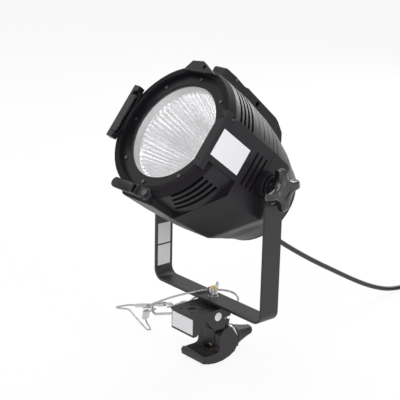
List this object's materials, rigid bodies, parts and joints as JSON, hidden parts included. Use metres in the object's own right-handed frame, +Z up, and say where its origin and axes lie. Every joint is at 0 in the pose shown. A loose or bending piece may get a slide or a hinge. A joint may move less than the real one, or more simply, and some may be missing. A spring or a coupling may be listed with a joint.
{
  "type": "led spotlight",
  "caption": "Round LED spotlight in a strap yoke with locking knobs, a hook clamp for a pipe, a safety rope and a mains cord.",
  "frame": {"origin": "middle of the pipe that the clamp holds, midway along the clamp's width", "axes": "+Z up, +X along the pipe, and the lamp faces -Y"},
  "size_m": [0.4184, 0.8199, 0.5256],
  "materials": {
    "black_paint": "black powder coat, satin",
    "black_casting": "die-cast aluminium, black powder coat",
    "black_plastic": "black moulded plastic",
    "gloss_black": "glossy black plastic",
    "rubber": "black rubber",
    "steel": "bright zinc-plated steel",
    "rope_steel": "stranded steel rope",
    "chrome": "polished chrome",
    "brass": "plain brass",
    "label": "blank white sticker",
    "glass": "clear tempered glass",
    "mirror": "bright anodised, fluted",
    "bare_alloy": "bare extruded aluminium",
    "led": "yellow phosphor on a ceramic plate",
    "white_plastic": "white heat-proof plastic",
    "board": "green circuit board with parts",
    "window": "dark clear window",
    "grey_plastic": "grey plastic",
    "cord": "black rubber sheath"
  },
  "bodies": {
    "clamp": {"saddle": "black_casting", "hook": "black_casting", "saddle_screws": "steel", "pad": "rubber", "yoke_bolt": "brass", "saddle_label": "label", "saddle_sticker": "label"},
    "clamp_jaw": {"jaw": "black_casting", "jaw_tip": "brass"},
    "clamp_handle": {"lead_screw": "steel", "handle_collar": "chrome", "handle_grip": "black_plastic"},
    "wing_nut": {"wing_nut": "steel"},
    "yoke": {"yoke": "black_paint", "bolt_washer": "steel", "yoke_label": "label", "leg_washers": "steel", "safety_rope": "rope_steel", "rope_ferrules": "steel", "quick_link": "steel", "power_cord": "cord", "cord_coil": "cord", "mains_plug": "black_plastic"},
    "link_sleeve": {"link_sleeve": "steel"},
    "knob_right": {"knob_right": "gloss_black"},
    "knob_left": {"knob_left": "gloss_black"},
    "head": {"pivot_boss_right": "black_casting", "pivot_boss_left": "black_casting", "friction_pad_right": "rubber", "friction_pad_left": "rubber", "main_housing": "black_casting", "rear_shell": "black_casting", "housing_screws": "steel", "lens_ring": "black_casting", "ring_screws": "steel", "lens_glass": "glass", "lens_gasket": "rubber", "reflector": "mirror", "cob_led": "led", "cob_holder": "white_plastic", "heat_sink": "bare_alloy", "heatsink_screws": "steel", "fan_frame": "black_plastic", "power_supply": "board", "control_board": "board", "display_window": "window", "data_in": "steel", "data_out": "black_plastic", "cord_gland": "black_plastic", "rail_right": "black_casting", "rail_left": "black_casting", "top_lug": "black_casting", "latch_screws": "steel", "side_label": "label"},
    "fan_rotor": {"fan_rotor": "black_plastic"},
    "frame_latch": {"frame_latch": "black_casting"},
    "button_1": {"button_1": "grey_plastic"},
    "button_2": {"button_2": "grey_plastic"},
    "button_3": {"button_3": "grey_plastic"},
    "button_4": {"button_4": "grey_plastic"}
  },
  "joints": [
    {"name": "handle_turn", "type": "hinge", "parent": "clamp", "child": "clamp_handle", "pos_m": [0, 0.082, -0.02], "axis": [0, -1, 0], "range_deg": [0, 960]},
    {"name": "jaw_slide", "type": "slide", "parent": "clamp", "child": "clamp_jaw", "axis": [0, -1, 0], "range_m": [0, 0.0081]},
    {"name": "wing_nut_turn", "type": "hinge", "parent": "clamp", "child": "wing_nut", "pos_m": [0, 0.04, 0.07], "axis": [0, 0, 1], "continuous": true},
    {"name": "yoke_pan", "type": "hinge", "parent": "clamp", "child": "yoke", "pos_m": [0, 0.04, 0.06], "axis": [0, 0, 1], "range_deg": [-60, 30]},
    {"name": "sleeve_turn", "type": "hinge", "parent": "yoke", "child": "link_sleeve", "pos_m": [-0.11508, 0.02, 0.01746], "axis": [0.9397, 0, 0.342], "continuous": true},
    {"name": "knob_right_turn", "type": "hinge", "parent": "yoke", "child": "knob_right", "pos_m": [0.14, 0.04, 0.29467], "axis": [1, 0, 0], "continuous": true},
    {"name": "knob_left_turn", "type": "hinge", "parent": "yoke", "child": "knob_left", "pos_m": [-0.14, 0.04, 0.29467], "axis": [-1, 0, 0], "continuous": true},
    {"name": "head_tilt", "type": "hinge", "parent": "yoke", "child": "head", "pos_m": [0, 0.04, 0.29467], "axis": [1, 0, 0], "range_deg": [-52, 68], "deforming": ["power_cord"]},
    {"name": "fan_spin", "type": "hinge", "parent": "head", "child": "fan_rotor", "pos_m": [0, 0.09701, 0.25393], "axis": [0, -0.788, 0.6157], "continuous": true},
    {"name": "latch_swing", "type": "hinge", "parent": "head", "child": "frame_latch", "pos_m": [0.034, -0.13236, 0.28846], "axis": [0, -0.788, 0.6157], "range_deg": [0, 40]},
    {"name": "button_1_press", "type": "slide", "parent": "head", "child": "button_1", "axis": [0, -0.788, 0.6157], "range_m": [0, 0.0012], "stiffness_N_per_m": 400, "springref_m": -0.001},
    {"name": "button_2_press", "type": "slide", "parent": "head", "child": "button_2", "axis": [0, -0.788, 0.6157], "range_m": [0, 0.0012], "stiffness_N_per_m": 400, "springref_m": -0.001},
    {"name": "button_3_press", "type": "slide", "parent": "head", "child": "button_3", "axis": [0, -0.788, 0.6157], "range_m": [0, 0.0012], "stiffness_N_per_m": 400, "springref_m": -0.001},
    {"name": "button_4_press", "type": "slide", "parent": "head", "child": "button_4", "axis": [0, -0.788, 0.6157], "range_m": [0, 0.0012], "stiffness_N_per_m": 400, "springref_m": -0.001}
  ],
  "couplings": [
    {"joint": "jaw_slide", "follows": "handle_turn", "m_per_rad": 0.00047746}
  ]
}
